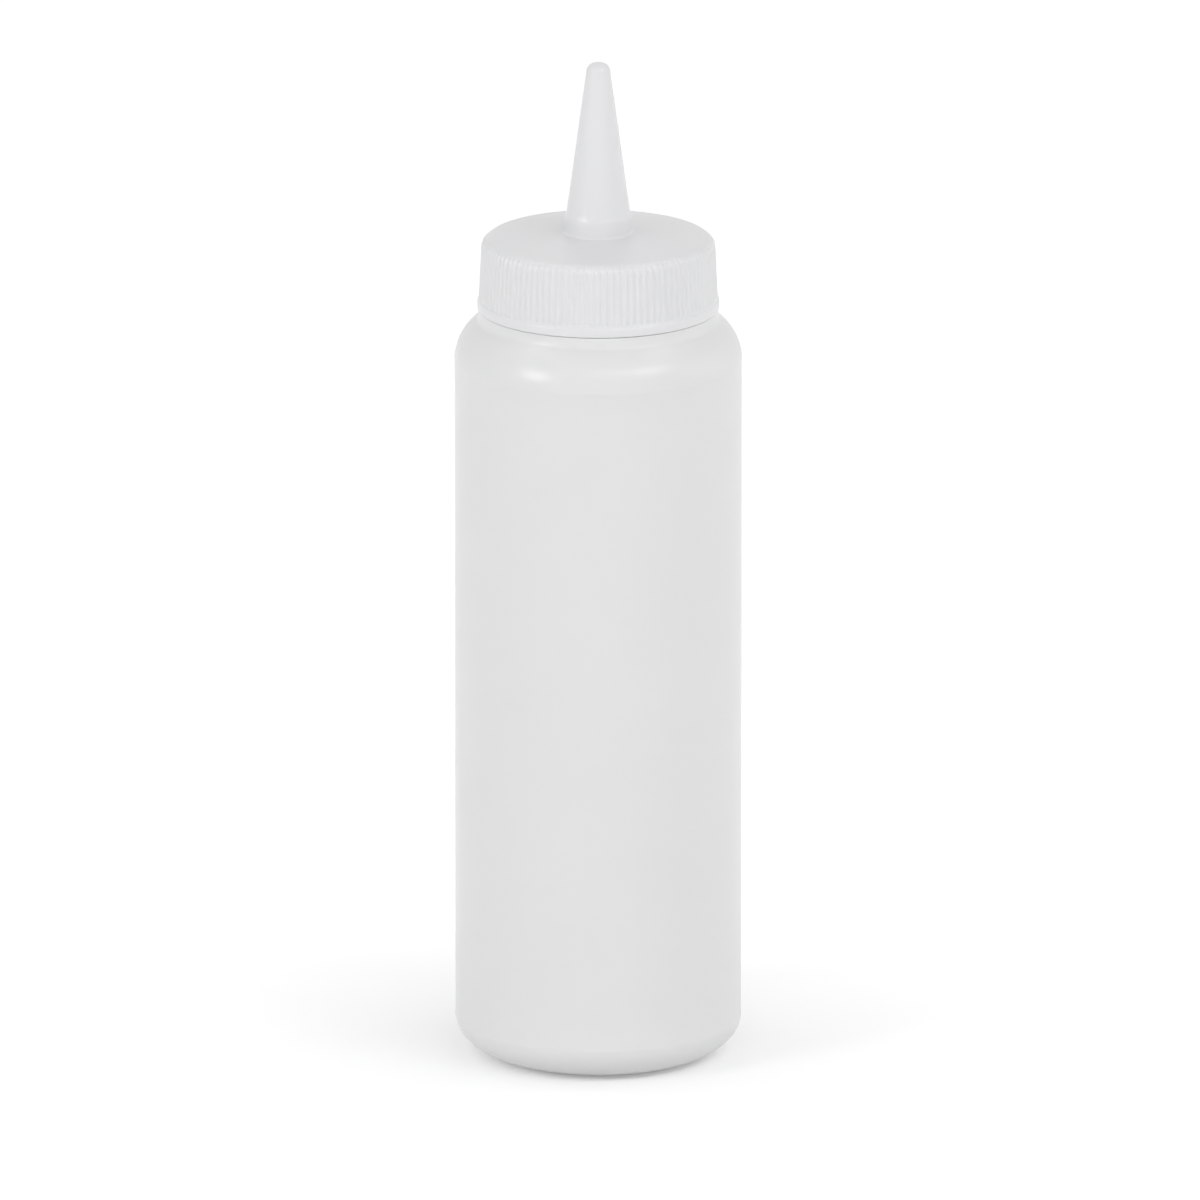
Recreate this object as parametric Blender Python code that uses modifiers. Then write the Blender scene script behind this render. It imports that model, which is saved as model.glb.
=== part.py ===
"""A squeeze bottle for sauces: a blow-moulded bottle, its screw cap with a cone spout,
and the flat ring that seals the cap on the neck.

Lengths are in metres and angles in degrees. Z is up, the base stands on z = 0, and
every piece turns about the Z axis. Turning the cap anticlockwise, seen from above,
lifts it by one thread pitch a turn, and it carries the seal ring up with it.
"""

import math

import bmesh
import bpy

# Bottle
BODY_RADIUS = 0.0254
BODY_WALL = 0.0009
BASE_CORNER_WIDTH = 0.0098
BASE_CORNER_HEIGHT = 0.0067
BASE_RING_WIDTH = 0.0035
BASE_PUSH_UP = 0.0012
SHOULDER_HEIGHT = 0.12668
SHOULDER_RADIUS = 0.0086

# Neck
NECK_RADIUS = 0.0175
NECK_WALL = 0.0014
NECK_HEIGHT = 0.0102
NECK_EDGE_RADIUS = 0.0003

# Thread, one on the neck and one in the cap, half a pitch apart
THREAD_PITCH = 0.004233
THREAD_HEIGHT = 0.00115
THREAD_BEAD_RADIUS = 0.001
THREAD_CLEARANCE = 0.0005
NECK_THREAD_TOP_DROP = 0.0017
NECK_THREAD_FOOT = 0.0032
CAP_THREAD_FOOT = 0.00125
CAP_THREAD_TOP_DROP = 0.0052

# Seal ring between the neck's rim and the cap
SEAL_THICKNESS = 0.0013
SEAL_OVERHANG = 0.0011
SEAL_GAP = 0.0003

# Cap
CAP_SHOULDER_GAP = 0.00075
CAP_WALL = 0.00125
CAP_TOP_THICKNESS = 0.00155
CAP_EDGE_RADIUS = 0.002
CAP_MOUTH_EDGE = 0.0003
SKIRT_DRAFT = 0.00042
DECK_RISE = 0.00095
FLANGE_HEIGHT = 0.00175
FLANGE_STAND = 0.00028
FLANGE_EDGE_RADIUS = 0.00045
RIB_DEPTH = 0.00025
RIB_SINK = 0.0001
RIB_COUNT = 108

# Spout
SPOUT_HEIGHT = 0.0316
SPOUT_FOOT_RADIUS = 0.0059
SPOUT_FOOT_HEIGHT = 0.0034
SPOUT_FOOT_STEP = 0.0003
SPOUT_FOOT_FILLET = 0.0004
SPOUT_TIP_RADIUS = 0.00212
SPOUT_TIP_ROUNDING = 0.0016
SPOUT_WALL = 0.0012
SPOUT_TIP_THICKNESS = 0.0016

# Fineness of the surfaces
TURN_STEPS = 64
THREAD_STEPS = 48
THREAD_SIDES_RESOLUTION = 2
SHOULDER_STEPS = 7
CORNER_STEPS = 6
EDGE_STEPS = 4
SMALL_EDGE_STEPS = 2
THREAD_RUN_OUT_POINTS = 4
THREAD_END_SHARE = 0.3
MERGE_DISTANCE = 0.00001
SHARP_ANGLE = 35
DECK_SHARES = (0.4, 0.6, 0.8)
DOME_SHARES = (0.0, 0.4, 0.7, 1.0)
CEILING_SHARES = (0.8, 0.5)
RIB_TOP_ANGLES = (0, 20, 40, 50)
RIB_TOP_SHARES = (1.0, 0.9, 0.5, -0.4)

# Places that follow from the sizes
SHOULDER_CENTRE = BODY_RADIUS - SHOULDER_RADIUS
NECK_BORE = NECK_RADIUS - NECK_WALL
BASE_RING_RADIUS = BODY_RADIUS - BASE_CORNER_WIDTH
BASE_DOME_RADIUS = BASE_RING_RADIUS - BASE_RING_WIDTH
CAP_BORE = NECK_RADIUS + THREAD_HEIGHT + THREAD_CLEARANCE
SKIRT_TOP_RADIUS = CAP_BORE + CAP_WALL
SKIRT_FOOT_RADIUS = SKIRT_TOP_RADIUS + SKIRT_DRAFT
FLANGE_RADIUS = SKIRT_FOOT_RADIUS + RIB_DEPTH + FLANGE_STAND
DECK_EDGE_RADIUS = SKIRT_TOP_RADIUS - CAP_EDGE_RADIUS


def oval_arc(centre, width, height, start, end, steps):
    """Points of an oval stretch about centre, from angle start to angle end."""
    points = []
    for step in range(steps + 1):
        angle = math.radians(start + (end - start) * step / steps)
        across = centre[0] + width * math.cos(angle)
        points.append((across, centre[1] + height * math.sin(angle)))
    return points


def arc(centre, radius, start, end, steps):
    """Points of a round stretch about centre, from angle start to angle end."""
    return oval_arc(centre, radius, radius, start, end, steps)


def shoulder_points(neck_radius, arc_radius):
    """The shoulder, from where it meets the neck to where it meets the wall."""
    reach = max(0, neck_radius - SHOULDER_CENTRE)
    start = math.degrees(math.acos(reach / arc_radius))
    centre = (SHOULDER_CENTRE, SHOULDER_HEIGHT)
    points = arc(centre, arc_radius, start, 0, SHOULDER_STEPS)
    if neck_radius < SHOULDER_CENTRE:
        points.insert(0, (neck_radius, points[0][1]))
    return points


SHOULDER_TOP = shoulder_points(NECK_RADIUS, SHOULDER_RADIUS)[0][1]
NECK_TOP = SHOULDER_TOP + NECK_HEIGHT
SEAL_PLACE = NECK_TOP + SEAL_GAP
CAP_PLACE = SHOULDER_TOP + CAP_SHOULDER_GAP
CAP_CEILING = SEAL_PLACE + SEAL_THICKNESS + SEAL_GAP - CAP_PLACE
DECK_EDGE = CAP_CEILING + CAP_TOP_THICKNESS


def dome_height(radius, edge_radius, rise):
    """How far a shallow dome stands above its edge at this radius."""
    return rise * (1 - (radius / edge_radius) ** 2)


def base_dome(lift):
    """The pushed-up middle of the base, from the axis outwards, raised by lift."""
    points = []
    for share in DOME_SHARES:
        radius = BASE_DOME_RADIUS * share
        height = dome_height(radius, BASE_DOME_RADIUS, BASE_PUSH_UP)
        points.append((radius, lift + height))
    return points


def bottle_profile():
    """Half section of the bottle: up the inside, over the rim and down the outside."""
    centre = (BASE_RING_RADIUS, BASE_CORNER_HEIGHT)
    inner_width = BASE_CORNER_WIDTH - BODY_WALL
    inner_height = BASE_CORNER_HEIGHT - BODY_WALL
    inner_corner = oval_arc(centre, inner_width, inner_height, -90, 0, CORNER_STEPS)
    inner_shoulder = shoulder_points(NECK_BORE, SHOULDER_RADIUS - BODY_WALL)[::-1]
    rim = NECK_TOP - NECK_EDGE_RADIUS
    inner_rim_centre = (NECK_BORE + NECK_EDGE_RADIUS, rim)
    outer_rim_centre = (NECK_RADIUS - NECK_EDGE_RADIUS, rim)
    inner_rim = arc(inner_rim_centre, NECK_EDGE_RADIUS, 180, 90, SMALL_EDGE_STEPS)
    outer_rim = arc(outer_rim_centre, NECK_EDGE_RADIUS, 90, 0, SMALL_EDGE_STEPS)
    outer_shoulder = shoulder_points(NECK_RADIUS, SHOULDER_RADIUS)
    outer_corner = oval_arc(
        centre, BASE_CORNER_WIDTH, BASE_CORNER_HEIGHT, 0, -90, CORNER_STEPS
    )
    inside = base_dome(BODY_WALL) + inner_corner + inner_shoulder + inner_rim
    outside = outer_rim + outer_shoulder + outer_corner + base_dome(0)[::-1]
    return inside + outside


def spout_outside():
    """Outer half section of the spout, from its tip down to the deck."""
    tip = DECK_EDGE + SPOUT_HEIGHT
    foot = deck_height(SPOUT_FOOT_RADIUS)
    collar_top = foot + SPOUT_FOOT_HEIGHT
    cone_radius = SPOUT_FOOT_RADIUS - SPOUT_FOOT_STEP
    rounding_centre = (SPOUT_TIP_RADIUS - SPOUT_TIP_ROUNDING, tip - SPOUT_TIP_ROUNDING)
    lean = math.degrees(
        math.atan2(cone_radius - SPOUT_TIP_RADIUS, rounding_centre[1] - collar_top)
    )
    fillet_radius = SPOUT_FOOT_RADIUS + SPOUT_FOOT_FILLET
    points = [(0, tip)]
    points += arc(rounding_centre, SPOUT_TIP_ROUNDING, 90, lean, EDGE_STEPS)
    points += [
        (cone_radius, collar_top + SPOUT_FOOT_STEP),
        (SPOUT_FOOT_RADIUS, collar_top - SPOUT_FOOT_STEP),
        (SPOUT_FOOT_RADIUS, foot + SPOUT_FOOT_FILLET),
        (fillet_radius, deck_height(fillet_radius)),
    ]
    return points


def deck_height(radius):
    """Height of the deck's outer face above the cap's mouth at this radius."""
    return DECK_EDGE + dome_height(radius, DECK_EDGE_RADIUS, DECK_RISE)


def ceiling_height(radius):
    """Height of the deck's inner face, which is domed inside the neck's bore."""
    return CAP_CEILING + dome_height(radius, NECK_BORE, DECK_RISE)


def flange_outside():
    """Outer half section of the plain flange under the ribs, down to the mouth."""
    radius = FLANGE_EDGE_RADIUS
    top = (FLANGE_RADIUS - radius, FLANGE_HEIGHT - radius)
    bottom = (FLANGE_RADIUS - radius, radius)
    points = arc(top, radius, 90, 0, SMALL_EDGE_STEPS)
    return points + arc(bottom, radius, 0, -90, SMALL_EDGE_STEPS)


def spout_inside():
    """Half section of the spout's bore, from the deck up to its closed end."""
    bore_foot = SPOUT_FOOT_RADIUS - SPOUT_WALL
    bore_end = SPOUT_TIP_RADIUS - SPOUT_WALL
    end_centre = (0, DECK_EDGE + SPOUT_HEIGHT - SPOUT_TIP_THICKNESS - bore_end)
    points = [
        (bore_foot, ceiling_height(bore_foot)),
        (bore_foot, deck_height(SPOUT_FOOT_RADIUS) + SPOUT_FOOT_HEIGHT),
    ]
    points += arc(end_centre, bore_end, 0, 90, SMALL_EDGE_STEPS)
    points[-1] = (0, points[-1][1])
    return points


def cap_profile():
    """Half section of the cap: down the outside, round its mouth and up the inside."""
    points = spout_outside()
    first = points[-1][0]
    for share in DECK_SHARES:
        radius = first + (DECK_EDGE_RADIUS - first) * share
        points.append((radius, deck_height(radius)))
    edge_centre = (DECK_EDGE_RADIUS, DECK_EDGE - CAP_EDGE_RADIUS)
    points += arc(edge_centre, CAP_EDGE_RADIUS, 90, 0, EDGE_STEPS)
    points.append((SKIRT_FOOT_RADIUS, FLANGE_HEIGHT))
    points += flange_outside()
    points += [
        (CAP_BORE + CAP_MOUTH_EDGE, 0),
        (CAP_BORE, CAP_MOUTH_EDGE),
        (CAP_BORE, CAP_CEILING),
        (NECK_BORE, CAP_CEILING),
    ]
    for share in CEILING_SHARES:
        radius = NECK_BORE * share
        points.append((radius, ceiling_height(radius)))
    return points + spout_inside()


def rib_profile():
    """Half section of the band that carries the ribs, at a rib's crest."""
    inner_radius = CAP_BORE + CAP_WALL / 2
    middle = FLANGE_HEIGHT / 2
    edge_base = DECK_EDGE - CAP_EDGE_RADIUS
    points = [(inner_radius, middle), (inner_radius, CAP_CEILING)]
    crest = []
    for angle, share in zip(RIB_TOP_ANGLES, RIB_TOP_SHARES):
        radius = CAP_EDGE_RADIUS + RIB_DEPTH * share
        angle = math.radians(angle)
        height = edge_base + radius * math.sin(angle)
        crest.append((DECK_EDGE_RADIUS + radius * math.cos(angle), height))
    points += crest[::-1]
    points.append((SKIRT_FOOT_RADIUS + RIB_DEPTH, FLANGE_HEIGHT))
    points.append((SKIRT_FOOT_RADIUS + RIB_DEPTH, middle))
    return points


def seal_profile():
    """Section of the flat seal ring, with its lower face at zero."""
    inner = NECK_BORE
    outer = NECK_RADIUS + SEAL_OVERHANG
    return [(inner, 0), (inner, SEAL_THICKNESS), (outer, SEAL_THICKNESS), (outer, 0)]


def new_collection(name):
    """A collection linked to the scene."""
    collection = bpy.data.collections.new(name)
    bpy.context.scene.collection.children.link(collection)
    return collection


def turned(name, profile, steps, collection, closed=False):
    """Turn a half section about the Z axis with a Screw modifier."""
    mesh = bpy.data.meshes.new(name)
    edges = [(i, i + 1) for i in range(len(profile) - 1)]
    if closed:
        edges.append((len(profile) - 1, 0))
    mesh.from_pydata([(x, 0, z) for x, z in profile], edges, [])
    piece = bpy.data.objects.new(name, mesh)
    collection.objects.link(piece)
    screw = piece.modifiers.new("turn", "SCREW")
    screw.steps = steps
    screw.render_steps = steps
    screw.use_merge_vertices = True
    screw.merge_threshold = MERGE_DISTANCE
    return piece


def settle(piece):
    """Replace the piece's mesh with the result of its modifiers."""
    bpy.context.view_layer.update()
    graph = bpy.context.evaluated_depsgraph_get()
    mesh = bpy.data.meshes.new_from_object(piece.evaluated_get(graph))
    piece.modifiers.clear()
    piece.data = mesh
    mesh.name = piece.name


def hide_tool(tool):
    """Show a shape that only joins others as a wire, and leave it out of renders."""
    tool.display_type = "WIRE"
    tool.hide_render = True


def thread(name, radius, foot, start_turn, turns, collection):
    """A rounded helical bead that climbs from foot and fades out at both ends."""
    count = round(turns * THREAD_STEPS) + 1
    curve = bpy.data.curves.new(name, "CURVE")
    curve.dimensions = "3D"
    curve.bevel_depth = THREAD_BEAD_RADIUS
    curve.bevel_resolution = THREAD_SIDES_RESOLUTION
    curve.use_fill_caps = True
    spline = curve.splines.new("POLY")
    spline.points.add(count - 1)
    for index, point in enumerate(spline.points):
        turn = turns * index / (count - 1)
        angle = math.tau * (start_turn + turn)
        height = foot + THREAD_PITCH * turn
        point.co = (radius * math.cos(angle), radius * math.sin(angle), height, 1)
        from_end = min(index, count - 1 - index, THREAD_RUN_OUT_POINTS)
        share = from_end / THREAD_RUN_OUT_POINTS
        point.radius = THREAD_END_SHARE + (1 - THREAD_END_SHARE) * share
    path = bpy.data.objects.new(name + "_path", curve)
    collection.objects.link(path)
    bpy.context.view_layer.update()
    graph = bpy.context.evaluated_depsgraph_get()
    mesh = bpy.data.meshes.new_from_object(path.evaluated_get(graph))
    bead = bpy.data.objects.new(name, mesh)
    bead.matrix_world = path.matrix_world
    bpy.data.objects.remove(path)
    collection.objects.link(bead)
    weld(mesh)
    hide_tool(bead)
    return bead


def weld(mesh):
    """Join the vertices that lie on each other."""
    work = bmesh.new()
    work.from_mesh(mesh)
    bmesh.ops.remove_doubles(work, verts=work.verts, dist=MERGE_DISTANCE)
    work.to_mesh(mesh)
    work.free()


def rib_band(collection):
    """A turned band whose every second column is drawn in, which leaves the ribs."""
    band = turned("rib_band", rib_profile(), 2 * RIB_COUNT, collection, closed=True)
    settle(band)
    inner = CAP_BORE + CAP_WALL / 2
    for vertex in band.data.vertices:
        radius = math.hypot(vertex.co.x, vertex.co.y)
        if radius > inner + MERGE_DISTANCE or vertex.co.z > CAP_CEILING + MERGE_DISTANCE:
            angle = math.atan2(vertex.co.y, vertex.co.x)
            wave = (1 - math.cos(RIB_COUNT * angle)) / 2
            factor = 1 - wave * (RIB_DEPTH + RIB_SINK) / radius
            vertex.co.x *= factor
            vertex.co.y *= factor
    hide_tool(band)
    return band


def join(piece, tool):
    """Unite the piece with a tool shape."""
    union = piece.modifiers.new(tool.name, "BOOLEAN")
    union.operation = "UNION"
    union.solver = "EXACT"
    union.object = tool


def plastic(name, colour, roughness, transmission):
    """A plain moulded plastic."""
    material = bpy.data.materials.new(name)
    material.use_nodes = True
    shader = material.node_tree.nodes["Principled BSDF"]
    shader.inputs["Base Color"].default_value = (*colour, 1)
    shader.inputs["Roughness"].default_value = roughness
    shader.inputs["Metallic"].default_value = 0
    shader.inputs["Transmission Weight"].default_value = transmission
    material.diffuse_color = (*colour, 1)
    return material


def finish(piece, material):
    """Settle the piece, give it its material and shade its round faces smooth."""
    settle(piece)
    piece.data.materials.clear()
    piece.data.materials.append(material)
    piece.data.shade_smooth()
    piece.data.set_sharp_from_angle(angle=math.radians(SHARP_ANGLE))


def make_bottle(parts, tools):
    """The bottle: base, wall, shoulder and threaded neck in one moulding."""
    bottle = turned("bottle", bottle_profile(), TURN_STEPS, parts)
    foot = SHOULDER_TOP + NECK_THREAD_FOOT
    turns = (NECK_TOP - NECK_THREAD_TOP_DROP - foot) / THREAD_PITCH
    radius = NECK_RADIUS + THREAD_HEIGHT - THREAD_BEAD_RADIUS
    join(bottle, thread("neck_thread", radius, foot, 0, turns, tools))
    finish(bottle, plastic("blown_polyethylene", (0.80, 0.80, 0.80), 0.38, 0.35))
    return bottle


def make_cap(parts, tools):
    """The cap: ribbed skirt, deck and cone spout in one moulding, threaded inside."""
    cap = turned("cap", cap_profile(), TURN_STEPS, parts)
    join(cap, rib_band(tools))
    ceiling = CAP_CEILING - CAP_THREAD_TOP_DROP
    turns = (ceiling - CAP_THREAD_FOOT) / THREAD_PITCH
    radius = NECK_RADIUS + THREAD_CLEARANCE + THREAD_BEAD_RADIUS
    neck_foot = SHOULDER_TOP + NECK_THREAD_FOOT - CAP_PLACE
    start = (CAP_THREAD_FOOT - neck_foot) / THREAD_PITCH + 1 / 2
    join(cap, thread("cap_thread", radius, CAP_THREAD_FOOT, start, turns, tools))
    finish(cap, plastic("moulded_polyethylene", (0.78, 0.78, 0.79), 0.30, 0.25))
    return cap


def make_seal(parts):
    """The flat ring between the neck's rim and the cap."""
    seal = turned("seal_ring", seal_profile(), TURN_STEPS, parts, closed=True)
    finish(seal, plastic("foamed_polyethylene", (0.72, 0.72, 0.70), 0.70, 0.0))
    return seal


def main():
    for thing in list(bpy.data.objects):
        bpy.data.objects.remove(thing)
    parts = new_collection("squeeze_bottle")
    tools = new_collection("joining_shapes")
    bottle = make_bottle(parts, tools)
    seal = make_seal(parts)
    cap = make_cap(parts, tools)
    seal.parent = bottle
    seal.location.z = SEAL_PLACE
    cap.parent = seal
    cap.location.z = CAP_PLACE - SEAL_PLACE
    bpy.context.view_layer.update()


main()
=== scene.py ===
"""Looks of a squeeze bottle for sauces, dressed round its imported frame.

The bottle is blow-moulded and its screw cap injection-moulded, both of natural
low-density polyethylene (LDPE), and a ring of foamed polyethylene seals the one on the
other. Each piece is one closed surface: a half section is carried round the Z axis on a
grid of rings and columns, and ribs, threads and mould lines push that grid in and out.
Lengths are in metres. A half section is an array of (radius, height) rows.
"""

import logging
import math
from dataclasses import dataclass, field
from enum import Enum
from typing import Any

import bpy
import numpy as np
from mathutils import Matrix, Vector


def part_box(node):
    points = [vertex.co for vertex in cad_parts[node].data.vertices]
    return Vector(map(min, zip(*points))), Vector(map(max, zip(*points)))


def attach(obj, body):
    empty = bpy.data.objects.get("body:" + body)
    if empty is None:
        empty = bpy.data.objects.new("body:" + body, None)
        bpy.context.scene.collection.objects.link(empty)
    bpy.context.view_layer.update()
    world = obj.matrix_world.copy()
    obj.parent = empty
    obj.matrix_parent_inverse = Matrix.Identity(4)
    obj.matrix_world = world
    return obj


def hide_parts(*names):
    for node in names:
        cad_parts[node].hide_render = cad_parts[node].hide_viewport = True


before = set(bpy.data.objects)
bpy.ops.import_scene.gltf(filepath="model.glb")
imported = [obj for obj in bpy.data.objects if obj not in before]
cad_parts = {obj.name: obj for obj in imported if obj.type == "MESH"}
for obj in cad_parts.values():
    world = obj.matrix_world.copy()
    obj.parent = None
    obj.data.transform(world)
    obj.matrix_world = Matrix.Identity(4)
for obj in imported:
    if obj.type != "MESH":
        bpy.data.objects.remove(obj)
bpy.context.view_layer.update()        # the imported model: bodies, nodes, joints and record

Array = np.ndarray
Point = tuple[float, float]

LOG = logging.getLogger("squeeze_bottle")
FULL_TURN = math.tau
SAME_PLACE = 1e-7  # points nearer than this are one point
SHARP_ANGLE = math.radians(38)
SEAL_CLEARANCE = 0.0003  # above the seal ring, up to the cap
POWER_SHARE = 4.0  # power per area at which an area lamp shows a radiance of 1
WHITE = (1.0, 1.0, 1.0, 1.0)


class Body(Enum):
    """The bodies of the frame that pieces ride on."""

    BOTTLE = "bottle"
    SEAL = "seal"
    CAP = "cap"


class Slot(Enum):
    """The record's material slots."""

    BOTTLE = "bottle_plastic"
    CAP = "cap_plastic"
    SEAL = "seal_foam"


def smoothstep(share: Array) -> Array:
    """An even ramp from 0 to 1 with level ends.

    The share is held between 0 and 1 and becomes 3 * share^2 - 2 * share^3.

    Args:
        share: Where each point lies on the ramp.

    Returns:
        The ramp's height there.
    """
    held = np.clip(share, 0.0, 1.0)
    return held * held * (3.0 - 2.0 * held)


def arc(centre: Point, size: Point, start: float, end: float, steps: int) -> Array:
    """A round or oval stretch of a half section.

    Each point is the centre plus (width * cos(angle), height * sin(angle)), with the
    angle going evenly from start to end.

    Args:
        centre: Radius and height of the oval's centre.
        size: Half width and half height of the oval.
        start: First angle, in degrees from straight outwards, upwards positive.
        end: Last angle, in degrees.
        steps: How many equal steps the stretch has.

    Returns:
        The stretch, one row a point.
    """
    angle = np.radians(np.linspace(start, end, steps + 1))
    return np.column_stack(
        [centre[0] + size[0] * np.cos(angle), centre[1] + size[1] * np.sin(angle)]
    )


def bend(start: Point, corner: Point, end: Point, steps: int = 6) -> Array:
    """A small fillet that leaves a corner out.

    The points follow the quadratic curve (1 - t)^2 start + 2 t (1 - t) corner + t^2 end.

    Args:
        start: Where the fillet leaves the first side.
        corner: Where the two sides would meet.
        end: Where the fillet joins the second side.
        steps: How many equal steps of t the fillet has.

    Returns:
        The stretch, one row a point.
    """
    t = np.linspace(0.0, 1.0, steps + 1)[:, None]
    ends = (1 - t) ** 2 * np.array(start) + t**2 * np.array(end)
    return ends + 2 * t * (1 - t) * np.array(corner)


def line(start: Point, end: Point, steps: int) -> Array:
    """A straight stretch of a half section, start + t * (end - start).

    Args:
        start: First point.
        end: Last point.
        steps: How many equal steps the stretch has.

    Returns:
        The stretch, one row a point.
    """
    t = np.linspace(0.0, 1.0, steps + 1)[:, None]
    return (1 - t) * np.array(start) + t * np.array(end)


def joined(*stretches: Array) -> Array:
    """Puts stretches end to end and drops the points that repeat.

    Args:
        *stretches: Stretches in order, each starting about where the last one ends.

    Returns:
        One half section.
    """
    points = np.concatenate(stretches)
    step = np.linalg.norm(np.diff(points, axis=0), axis=1)
    return points[np.append(True, step > SAME_PLACE)]


def dome(radius: Array, edge: float, rise: float) -> Array:
    """Height of a shallow dome above its edge: rise * (1 - (radius / edge)^2)."""
    return rise * (1 - (radius / edge) ** 2)


def carried_round(section: Array, angles: Array, offset: Array | None = None) -> Array:
    """Carries a half section round the Z axis.

    A point of ring i and column j lies at (r cos a, r sin a, z), where (r, z) is the
    section's point i moved along the section's own normal by offset[i, j]. Normals
    point out of a section that runs down the outside and up the inside.

    Args:
        section: Half section, one row a ring.
        angles: Angle of each column, in radians.
        offset: How far each point is pushed outwards, rings by columns.

    Returns:
        The surface, rings by columns by three.
    """
    along = np.gradient(section, axis=0)
    normal = np.column_stack([-along[:, 1], along[:, 0]])
    normal /= np.linalg.norm(normal, axis=1)[:, None]
    push = np.zeros((len(section), len(angles))) if offset is None else offset
    radius = section[:, :1] + push * normal[:, :1]
    height = section[:, 1:] + push * normal[:, 1:]
    return np.stack([radius * np.cos(angles), radius * np.sin(angles), height], axis=-1)


class Shell:
    """Points and faces of one closed piece, gathered band by band.

    Rings are given in the order of a half section that runs down the outside and up the
    inside, and columns anticlockwise seen from above, so every face points outwards.
    """

    def __init__(self, name: str) -> None:
        """Starts an empty piece.

        Args:
            name: Name of the piece.
        """
        self.name = name
        self.points: list[Array] = []
        self.faces: list[Array] = []
        self.count = 0

    def add(self, grid: Array) -> Array:
        """Adds a grid of points and the quads between its rings.

        Args:
            grid: Points, rings by columns by three.

        Returns:
            The points' numbers, rings by columns.
        """
        numbers = self.count + np.arange(grid.shape[0] * grid.shape[1])
        numbers = numbers.reshape(grid.shape[:2])
        self.points.append(grid.reshape(-1, 3))
        self.count += numbers.size
        after = np.roll(numbers, -1, axis=1)
        quads = [numbers[:-1], numbers[1:], after[1:], after[:-1]]
        self.faces.append(np.stack(quads, axis=-1).reshape(-1, 4))
        return numbers

    def close_band(self, upper: Array, lower: Array) -> None:
        """Joins two rings, of which one may have several times the other's columns.

        Each column of the coarser ring is the tip of a fan: the first half of the finer
        columns of its step fan out from it and the second half from the next one.

        Args:
            upper: Numbers of the ring that comes first in the half section.
            lower: Numbers of the ring that comes next.
        """
        flip = len(upper) > len(lower)
        coarse, fine = (lower, upper) if flip else (upper, lower)
        ratio = len(fine) // len(coarse)
        here = coarse[:, None]
        there = np.roll(coarse, -1)[:, None]
        steps = fine.reshape(-1, ratio)
        after = np.roll(fine, -1).reshape(-1, ratio)
        first = np.arange(ratio) < (ratio + 1) // 2
        tips = np.where(first[None, :], here, there)
        fans = np.stack([tips, steps, after], axis=-1).reshape(-1, 3)
        middle = after[:, (ratio + 1) // 2 - 1]
        gaps = np.stack([here[:, 0], middle, there[:, 0]], axis=-1)
        triangles = np.concatenate([fans, gaps])
        self.faces.append(triangles[:, [0, 2, 1]] if flip else triangles)

    def close_pole(self, ring: Array, height: float, first: bool) -> None:
        """Closes a ring with triangles that meet in one point of the axis.

        Args:
            ring: Numbers of the ring's points.
            height: Height of the point on the axis.
            first: Whether the half section starts at this pole, and doesn't end there.
        """
        pole = np.full(len(ring), self.count)
        self.points.append(np.array([[0.0, 0.0, height]]))
        self.count += 1
        after = np.roll(ring, -1)
        corners = [pole, ring, after] if first else [ring, pole, after]
        self.faces.append(np.stack(corners, axis=-1))

    def build(self) -> bpy.types.Object:
        """Makes the Blender object.

        Returns:
            The piece, shaded smooth apart from its sharp edges.
        """
        mesh = bpy.data.meshes.new(self.name)
        faces = [face for block in self.faces for face in block.tolist()]
        mesh.from_pydata(np.concatenate(self.points).tolist(), [], faces)
        mesh.validate()
        mesh.shade_smooth()
        mesh.set_sharp_from_angle(angle=SHARP_ANGLE)
        piece = bpy.data.objects.new(self.name, mesh)
        bpy.context.scene.collection.objects.link(piece)
        return piece


@dataclass(frozen=True)
class Thread:
    """One start of a right-handed screw thread, as a swelling along a helix."""

    foot: float
    start_turn: float
    turns: float
    pitch: float = 0.004233
    height: float = 0.00115
    half_width: float = 0.001
    flank: float = 0.0007
    run_out_turn: float = 0.083

    def swelling(self, angles: Array, heights: Array) -> Array:
        """How far the thread stands off its wall.

        At turn t the thread's middle lies at foot + pitch * t. Across it, a smooth flank
        rises from each side to a flat crest, and at both ends it fades out.

        Args:
            angles: Angle of each column, in radians.
            heights: Height of each ring.

        Returns:
            Swelling at each point, rings by columns.
        """
        first = (angles / FULL_TURN - self.start_turn) % 1.0
        turn = first[None, :, None] + np.arange(math.ceil(self.turns) + 1)
        middle = self.foot + self.pitch * turn
        inside = self.half_width - np.abs(heights[:, None, None] - middle)
        to_end = np.minimum(turn, self.turns - turn)
        form = smoothstep(inside / self.flank) * smoothstep(to_end / self.run_out_turn)
        return self.height * form.max(axis=-1)


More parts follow.
